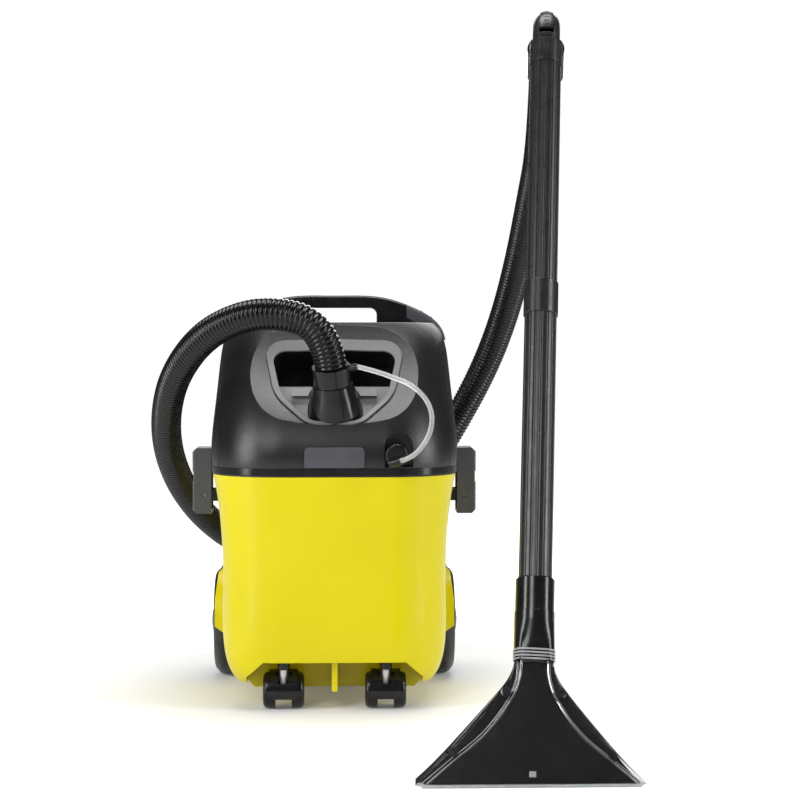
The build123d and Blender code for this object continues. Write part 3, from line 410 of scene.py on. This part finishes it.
def wand_black():
    """Satin black tube plastic with fine drawn lines along the wand."""
    made = Surface("wand_black")
    lines = made.noise(900, 3, place=made.stretched((1, 0.12, 0.03)))
    made.colours(lines, (0.007, 0.007, 0.0075), (0.020, 0.020, 0.021))
    made.roughness(made.noise(90, 4), 0.26, 0.38)
    made.rounded(0.5 * MM)
    made.bump(lines, 0.00004, 0.5)
    return made.material


def tinted_plastic(name, low, high, rough):
    """Moulded plastic of one tone with a fine grain."""
    made = Surface(name)
    made.colours(made.noise(1100, 3), low, high)
    made.roughness(made.noise(300, 3), rough - 0.05, rough + 0.07)
    made.rounded(0.6 * MM)
    made.bump(made.pits(1500), 0.00007, 0.5)
    return made.material


def hose_black():
    """Glossy soft black with a little dust in its grooves."""
    made = Surface("hose_plastic")
    made.colours(made.noise(220, 5), (0.002, 0.002, 0.0023), (0.006, 0.006, 0.0064))
    made.roughness(made.noise(160, 4), 0.16, 0.28)
    made.bump(made.noise(1400, 3), 0.00005, 0.4)
    made.fix(Specular_IOR_Level=0.3, Coat_Weight=0.12, Coat_Roughness=0.05)
    return made.material


def clear_plastic():
    """Clear moulded plastic with a faint grey tint and flow lines."""
    made = Surface("clear_plastic")
    made.colours(made.noise(30, 3), (0.84, 0.86, 0.86), (0.93, 0.94, 0.94))
    made.roughness(made.noise(80, 4), 0.03, 0.10)
    made.bump(made.noise(60, 2), 0.00006, 0.4)
    made.fix(Transmission_Weight=1.0, IOR=1.46)
    return made.material


def painted_highlight_plastic():
    """A paler, duller, less clear version of the same plastic, used as painted highlight: it draws the
    bright lines of the duct's walls, the cover's lip and the neck's beads.
    """
    made = Surface("painted_highlight_plastic")
    made.colours(made.noise(90, 3), (0.62, 0.63, 0.64), (0.82, 0.83, 0.84))
    made.roughness(made.noise(240, 4), 0.28, 0.42)
    made.bump(made.noise(900, 3), 0.00006, 0.5)
    made.fix(Transmission_Weight=0.55, IOR=1.46)
    return made.material


def tube_plastic():
    """Milky clear tube."""
    made = Surface("tube_plastic")
    made.colours(made.noise(50, 3), (0.70, 0.71, 0.70), (0.86, 0.87, 0.86))
    made.roughness(made.noise(120, 4), 0.12, 0.24)
    made.bump(made.noise(700, 3), 0.00004, 0.5)
    made.fix(Transmission_Weight=0.62, IOR=1.4)
    return made.material


def steel():
    """Turned steel with fine rings and a little tarnish."""
    made = Surface("steel")
    rings = made.noise(1500, 4, place=made.stretched((0.3, 1, 1)))
    made.colours(rings, (0.56, 0.56, 0.57), (0.76, 0.76, 0.78))
    made.roughness(made.noise(300, 4), 0.40, 0.54)
    made.rounded(0.3 * MM)
    made.bump(rings, 0.00003, 0.5)
    made.fix(Metallic=0.5)
    return made.material


def rubber():
    """Dull black rubber with dust."""
    made = Surface("rubber")
    made.colours(made.noise(400, 5), (0.012, 0.012, 0.012), (0.035, 0.034, 0.033))
    made.roughness(made.noise(200, 4), 0.52, 0.72)
    made.rounded(0.5 * MM)
    made.bump(made.noise(1300, 4), 0.00012, 0.6)
    return made.material


MATERIALS = {
    "yellow": yellow_plastic(),
    "grained": grained_black(),
    "gloss": gloss_black(),
    "wand": wand_black(),
    "plate_grey": tinted_plastic("plate_grey", (0.045, 0.046, 0.055), (0.085, 0.086, 0.10), 0.42),
    "latch_grey": tinted_plastic("latch_grey", (0.040, 0.042, 0.048), (0.075, 0.077, 0.085), 0.36),
    "bezel_grey": tinted_plastic("bezel_grey", (0.13, 0.13, 0.133), (0.19, 0.19, 0.193), 0.46),
    "seat_grey": tinted_plastic("seat_grey", (0.19, 0.19, 0.193), (0.27, 0.27, 0.273), 0.46),
    "inner": tinted_plastic("inner_plastic", (0.30, 0.30, 0.31), (0.42, 0.42, 0.43), 0.40),
    "white": tinted_plastic("float_plastic", (0.62, 0.62, 0.60), (0.78, 0.78, 0.76), 0.35),
    "hose": hose_black(),
    "clear": clear_plastic(),
    # The paler plastic below is painted highlight for the clear cover's bright lines.
    "painted_highlight": painted_highlight_plastic(),
    "tube": tube_plastic(),
    "steel": steel(),
    "rubber": rubber(),
}

NODE_MATERIALS = {
    "yellow": ["tub_shell"],
    "grained": ["front_cover", "rear_cover", "exhaust_grille", "nozzle_back", "motor_housing"],
    "gloss": ["base_plate", "carry_handle", "hose_cuff", "hose_wand_cuff", "spray_coupling", "socket_well",
              "caster_hood_left", "caster_hood_right", "caster_wheels_left", "caster_wheels_right",
              "latch_brackets", "caster_sockets", "nozzle_neck"],
    "wand": ["lower_tube", "upper_tube", "tube_sleeve", "handle_collar", "handle_body",
             "trigger", "rear_wheel_left", "rear_wheel_right", "hub_cap_left", "hub_cap_right"],
    "plate_grey": ["front_plate"],
    "latch_grey": ["latch_left", "latch_right", "switch_panels", "rocker_left", "rocker_right"],
    "bezel_grey": ["socket_shield"],
    "seat_grey": ["socket_insert"],
    "inner": ["clean_water_tank", "tank_strainer", "suction_duct", "pump", "float_cage", "fan_rotor",
              "spray_valve", "wand_spray_pipe", "spray_jet"],
    "white": ["float_ball"],
    "steel": ["latch_pins", "rear_axle", "caster_stem_left", "caster_stem_right", "motor", "head_screws"],
    "rubber": ["rim_seal", "cable_gland"],
}


def dress_nodes():
    """Gives each CAD node its finished material."""
    for key, names in NODE_MATERIALS.items():
        for name in names:
            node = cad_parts[name]
            if not node.material_slots:
                node.data.materials.append(MATERIALS[key])
            for place in node.material_slots:
                place.material = MATERIALS[key]


# ---------------------------------------------------------------- cords

def cord_curve(name, points):
    """A smooth open line with a cord's route as its control points."""
    curve = bpy.data.curves.new(name, "CURVE")
    curve.dimensions = "3D"
    curve.resolution_u = LINE_STEPS
    spline = curve.splines.new("NURBS")
    spline.points.add(len(points) - 1)
    for knot, point in zip(spline.points, points):
        knot.co = (*point, 1)
    spline.order_u = 3
    spline.use_endpoint_u = True
    return curve


def line_points(curve):
    """The points of a curve's line, read from the curve itself."""
    carrier = make_object("carrier", curve)
    bpy.context.view_layer.update()
    mesh = bpy.data.meshes.new_from_object(carrier)
    points = [vertex.co.copy() for vertex in mesh.vertices]
    bpy.data.objects.remove(carrier)
    bpy.data.meshes.remove(mesh)
    return points


def evenly(points, step):
    """Points along a line at even distances, and the distance of each from the start."""
    travelled = [0.0]
    for before, after in zip(points, points[1:]):
        travelled.append(travelled[-1] + (after - before).length)
    total = travelled[-1]
    count = round(total / step)
    made = []
    index = 0
    for number in range(count + 1):
        want = total * number / count
        while index < len(points) - 2 and travelled[index + 1] < want:
            index += 1
        share = (want - travelled[index]) / (travelled[index + 1] - travelled[index])
        made.append((want, points[index].lerp(points[index + 1], share)))
    return made


def swept(name, line, radius_at, sides):
    """A tube round a line of (distance, point) pairs, whose radius is a function of distance."""
    points = [point for _, point in line]
    ways = []
    for number in range(len(points)):
        before, after = points[max(0, number - 1)], points[min(len(points) - 1, number + 1)]
        ways.append((after - before).normalized())
    across = ways[0].orthogonal().normalized()
    verts = []
    for (distance, point), way in zip(line, ways):
        across = (across - way * across.dot(way)).normalized()
        side = way.cross(across)
        radius = radius_at(distance)
        for turn in range(sides):
            angle = 2 * pi * turn / sides
            verts.append(point + (across * cos(angle) + side * sin(angle)) * radius)
    faces = []
    for number in range(len(points) - 1):
        for turn in range(sides):
            here, there = number * sides + turn, number * sides + (turn + 1) % sides
            faces.append((here, there, there + sides, here + sides))
    faces.append(tuple(reversed(range(sides))))
    faces.append(tuple(range(len(verts) - sides, len(verts))))
    return make_mesh(name, verts, faces)


def rib_radius(distance):
    """The hose's radius along it: round ribs with narrow grooves between them."""
    crest = abs(sin(pi * distance / RIB_PITCH))
    return HOSE_R - RIB_DEPTH * (1 - crest ** 0.7)


def cuff_top():
    """Where the hose leaves the cuff in the head's socket."""
    return on_machine(SOCKET_BASE + SOCKET_AXIS.normalized() * CUFF_LENGTH)


def wand_end():
    """Where the hose goes into the cuff on the wand's grip."""
    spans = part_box("hose_lower")
    grip = middle("hose_wand_cuff")
    last = on_machine(HOSE_ROUTE[-1])
    way = (grip - last).normalized()
    return last + way * ((spans[1].z - last.z) - HOSE_R * sqrt(1 - way.z ** 2)) / way.z


def make_hose():
    """The corrugated suction hose, from the cuff in the head's socket to the cuff on the wand's grip."""
    route = [cuff_top(), *[on_machine(p) for p in HOSE_ROUTE], wand_end()]
    line = evenly(line_points(cord_curve("hose_line", route)), RIB_PITCH / RIB_STEPS)
    hose = swept("suction_hose", line, rib_radius, HOSE_SIDES)
    hose.data.materials.append(MATERIALS["hose"])
    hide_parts("hose_upper", "hose_lower")
    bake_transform(hose)
    return hose


def make_spray_tube():
    """The clear tube from the coupling to the hose's cuff."""
    route = [on_machine(p) for p in SPRAY_ROUTE]
    line = evenly(line_points(cord_curve("spray_line", route)), SPRAY_STEP)
    spray = swept("clear_spray_tube", line, lambda distance: SPRAY_R, SPRAY_SIDES)
    spray.data.materials.append(MATERIALS["tube"])
    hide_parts("spray_tube")
    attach(spray, "head")
    return spray


make_hose()
make_spray_tube()


# ---------------------------------------------------------------- nozzle

def duct_half(height):
    """The duct's half width at a height, kept inside the outline."""
    return min(cubic(DUCT, height), cubic(OUTLINE, height) - EDGE_GAP)


def cover_depth(x, height):
    """How far forward the clear cover's face stands at a place."""
    inside = duct_half(height) - abs(x)
    return FLANGE_Y + (DUCT_Y - FLANGE_Y) * smooth(inside / WALL_W + 0.5)


def cover_columns(height):
    """Places across the cover at a height, close together over the duct's walls."""
    outer, duct = cubic(OUTLINE, height), duct_half(height)
    spread = [outer, (outer * 2 + duct) / 3, (outer + duct * 2) / 3]
    spread += [duct + WALL_W * k for k in WALL_STEPS]
    spread += [(duct - WALL_W) * k for k in INNER_STEPS]
    clipped = [max(0.0, min(outer, x)) for x in spread]
    half = sorted(clipped, reverse=True)
    return [-x for x in half] + [0.0] + list(reversed(half))


def floor_height(x, y):
    """How far up the wand's frame the floor lies at a place across it."""
    way = WAND.to_3x3()
    return -(x * way[2][0] + y * way[2][1]) / way[2][2]


def make_nozzle_cover():
    """The clear cover with its raised, fan-shaped duct, and painted highlight bands along the duct's walls
    and at its lip.
    """
    rows = [COVER_TOP * k / COVER_ROWS for k in range(COVER_ROWS + 1)]
    points, faces = [], []
    for height in rows:
        for x in cover_columns(height):
            depth = cover_depth(x, height)
            low = floor_height(x, depth) + LIP_LIFT
            points.append(on_wand(x, depth, low + (COVER_TOP - low) * height / COVER_TOP))
    width = len(cover_columns(0))
    for row in range(len(rows) - 1):
        for column in range(width - 1):
            first = row * width + column
            faces.append((first, first + 1, first + width + 1, first + width))
    cover = make_mesh("clear_nozzle_cover", points, faces)
    cover.data.materials.append(MATERIALS["clear"])
    cover.data.materials.append(MATERIALS["painted_highlight"])
    # Thin bands along both sides of each duct wall, and the bottom row at the lip, get the paler material
    # as painted highlight.
    for face in cover.data.polygons:
        row, column = divmod(face.index, width - 1)
        height = (rows[row] + rows[row + 1]) / 2
        places = cover_columns(height)
        x = abs(places[column] + places[column + 1]) / 2
        low, high = (WALL_W * edge for edge in WALL_EDGES)
        if low < abs(x - duct_half(height)) < high or row < 1:
            face.material_index = 1
    thick = cover.modifiers.new("thickness", "SOLIDIFY")
    thick.thickness = COVER_THICK
    thick.offset = -1
    return finish_piece(cover, "tub", "clear_plastic", None, "nozzle_cover")


def rounded_square(angle):
    """A point on the neck's rounded square outline, one unit in half width."""
    power = 2 / NECK_SQUARENESS
    x = abs(cos(angle)) ** power * (1 if cos(angle) >= 0 else -1)
    y = abs(sin(angle)) ** power * (1 if sin(angle) >= 0 else -1)
    return x, y


def neck_ring(name, height):
    """A bead of plastic round the neck at a height up the wand."""
    share = (height - NECK_FROM) / NECK_RISE
    half_d = NECK_HALF_D + NECK_GROWTH * share
    forward = -NECK_FORWARD + NECK_FORWARD * share
    verts, faces = [], []
    for turn in range(NECK_SIDES):
        angle = 2 * pi * turn / NECK_SIDES
        x, y = rounded_square(angle)
        out = Vector((cos(angle), sin(angle), 0))
        for side in range(BEAD_SIDES):
            tilt = 2 * pi * side / BEAD_SIDES
            place = Vector((NECK_HALF_W * x, forward + half_d * y, height)) + out * BEAD_R * cos(tilt)
            place.z += BEAD_R * sin(tilt)
            verts.append(on_wand(*place))
    for turn in range(NECK_SIDES):
        for side in range(BEAD_SIDES):
            here = turn * BEAD_SIDES + side
            beside = turn * BEAD_SIDES + (side + 1) % BEAD_SIDES
            after = (turn + 1) % NECK_SIDES * BEAD_SIDES
            faces.append((here, beside, after + (side + 1) % BEAD_SIDES, after + side))
    ring = make_mesh(name, verts, faces)
    outward(ring)
    # The bead is drawn in the paler material, as painted highlight.
    return finish_piece(ring, "tub", "clear_plastic", MATERIALS["painted_highlight"])


def make_neck_rings():
    """The four clear beads where the cover's collar grips the neck."""
    for number, height in enumerate(BEAD_HEIGHTS):
        neck_ring(f"cover_collar_bead_{number + 1}", height)


def cross_dent(radius, depth, angle):
    """How deep the screw head's cross is cut at a place on its profile."""
    if depth >= -HEAD_DEPTH or radius >= CROSS_REACH:
        return 0.0
    arm = min(abs(cos(angle)), abs(sin(angle)))
    return CROSS_DEPTH if arm < CROSS_ARM or radius == 0 else 0.0


def screw_ring(mesh, x, height, radius, depth):
    """One ring of a screw's corners, at a radius and a depth."""
    ring = []
    for turn in range(SCREW_SIDES):
        angle = 2 * pi * turn / SCREW_SIDES
        across, up = x + radius * cos(angle), height + radius * sin(angle)
        forward = FLANGE_Y + depth + cross_dent(radius, depth, angle)
        ring.append(mesh.verts.new(on_wand(across, forward, up)))
    return ring


def make_nozzle_screws():
    """The four cross-headed screws that hold the clear cover."""
    mesh = bmesh.new()
    for x, height in SCREW_PLACES:
        rings = [screw_ring(mesh, x, height, radius, depth) for radius, depth in SCREW_PROFILE]
        for low, high in zip(rings, rings[1:]):
            for turn in range(SCREW_SIDES):
                after = (turn + 1) % SCREW_SIDES
                mesh.faces.new((low[turn], low[after], high[after], high[turn]))
    bmesh.ops.remove_doubles(mesh, verts=mesh.verts, dist=1e-6)
    bmesh.ops.recalc_face_normals(mesh, faces=mesh.faces)
    data = bpy.data.meshes.new("cover_screws")
    mesh.to_mesh(data)
    mesh.free()
    screws = make_object("cover_screws", data)
    return finish_piece(screws, "tub", "steel", MATERIALS["steel"], "nozzle_screws")


make_nozzle_cover()
make_neck_rings()
make_nozzle_screws()
dress_nodes()


# ---------------------------------------------------------------- floor and light

def make_floor():
    """A plain pale floor that looks white far from the object and lights it only a little."""
    corners = [(x * FLOOR_REACH, y * FLOOR_REACH, 0) for x, y in ((-1, -1), (1, -1), (1, 1), (-1, 1))]
    floor = make_mesh("floor", corners, [(0, 1, 2, 3)])
    made = Surface("pale_floor")
    made.colours(made.noise(3, 2), (0.90, 0.90, 0.90), (0.93, 0.93, 0.93))
    made.fix(Roughness=0.85, Specular_IOR_Level=0.1, Emission_Color=(1, 1, 1, 1))
    reach = made.node("ShaderNodeVectorMath", operation="LENGTH")
    made.link(made.place, reach.inputs[0])
    glow = made.ranged(reach.outputs["Value"], *FLOOR_GLOW, *FLOOR_FADE)
    rays = made.node("ShaderNodeLightPath")
    share = made.ranged(rays.outputs["Is Camera Ray"], FLOOR_LIGHT, 1, 0, 1)
    strength = made.node("ShaderNodeMath", operation="MULTIPLY")
    made.link(glow, strength.inputs[0])
    made.link(share, strength.inputs[1])
    made.link(strength.outputs["Value"], made.shader.inputs["Emission Strength"])
    floor.data.materials.append(made.material)
    floor.location.z = -FLOOR_DROP


def make_world():
    """Even white surroundings: bright to the eye, dim as a light."""
    world = bpy.data.worlds.new("studio")
    world.use_nodes = True
    tree = world.node_tree
    shade = tree.nodes["Background"]
    shade.inputs["Color"].default_value = (1, 1, 1, 1)
    rays = tree.nodes.new("ShaderNodeLightPath")
    level = tree.nodes.new("ShaderNodeMapRange")
    level.inputs["To Min"].default_value = WORLD_LIGHT
    level.inputs["To Max"].default_value = WORLD_SEEN
    tree.links.new(rays.outputs["Is Camera Ray"], level.inputs["Value"])
    tree.links.new(level.outputs["Result"], shade.inputs["Strength"])
    bpy.context.scene.world = world


def softbox(name, at, aim, size, power):
    """A square area light aimed at a point."""
    data = bpy.data.lights.new(name, "AREA")
    data.shape = "RECTANGLE"
    data.size, data.size_y = size
    data.energy = power
    light = make_object(name, data)
    light.location = at
    light.rotation_euler = (Vector(aim) - Vector(at)).to_track_quat("-Z", "Y").to_euler()


def make_lights():
    """Soft studio lights: one at each side, one in front, one overhead and one at the back."""
    for name, at, aim, size, power in SOFTBOXES:
        softbox(name, at, aim, size, power)


make_floor()
make_world()
make_lights()
bpy.context.scene.view_settings.view_transform = "Standard"
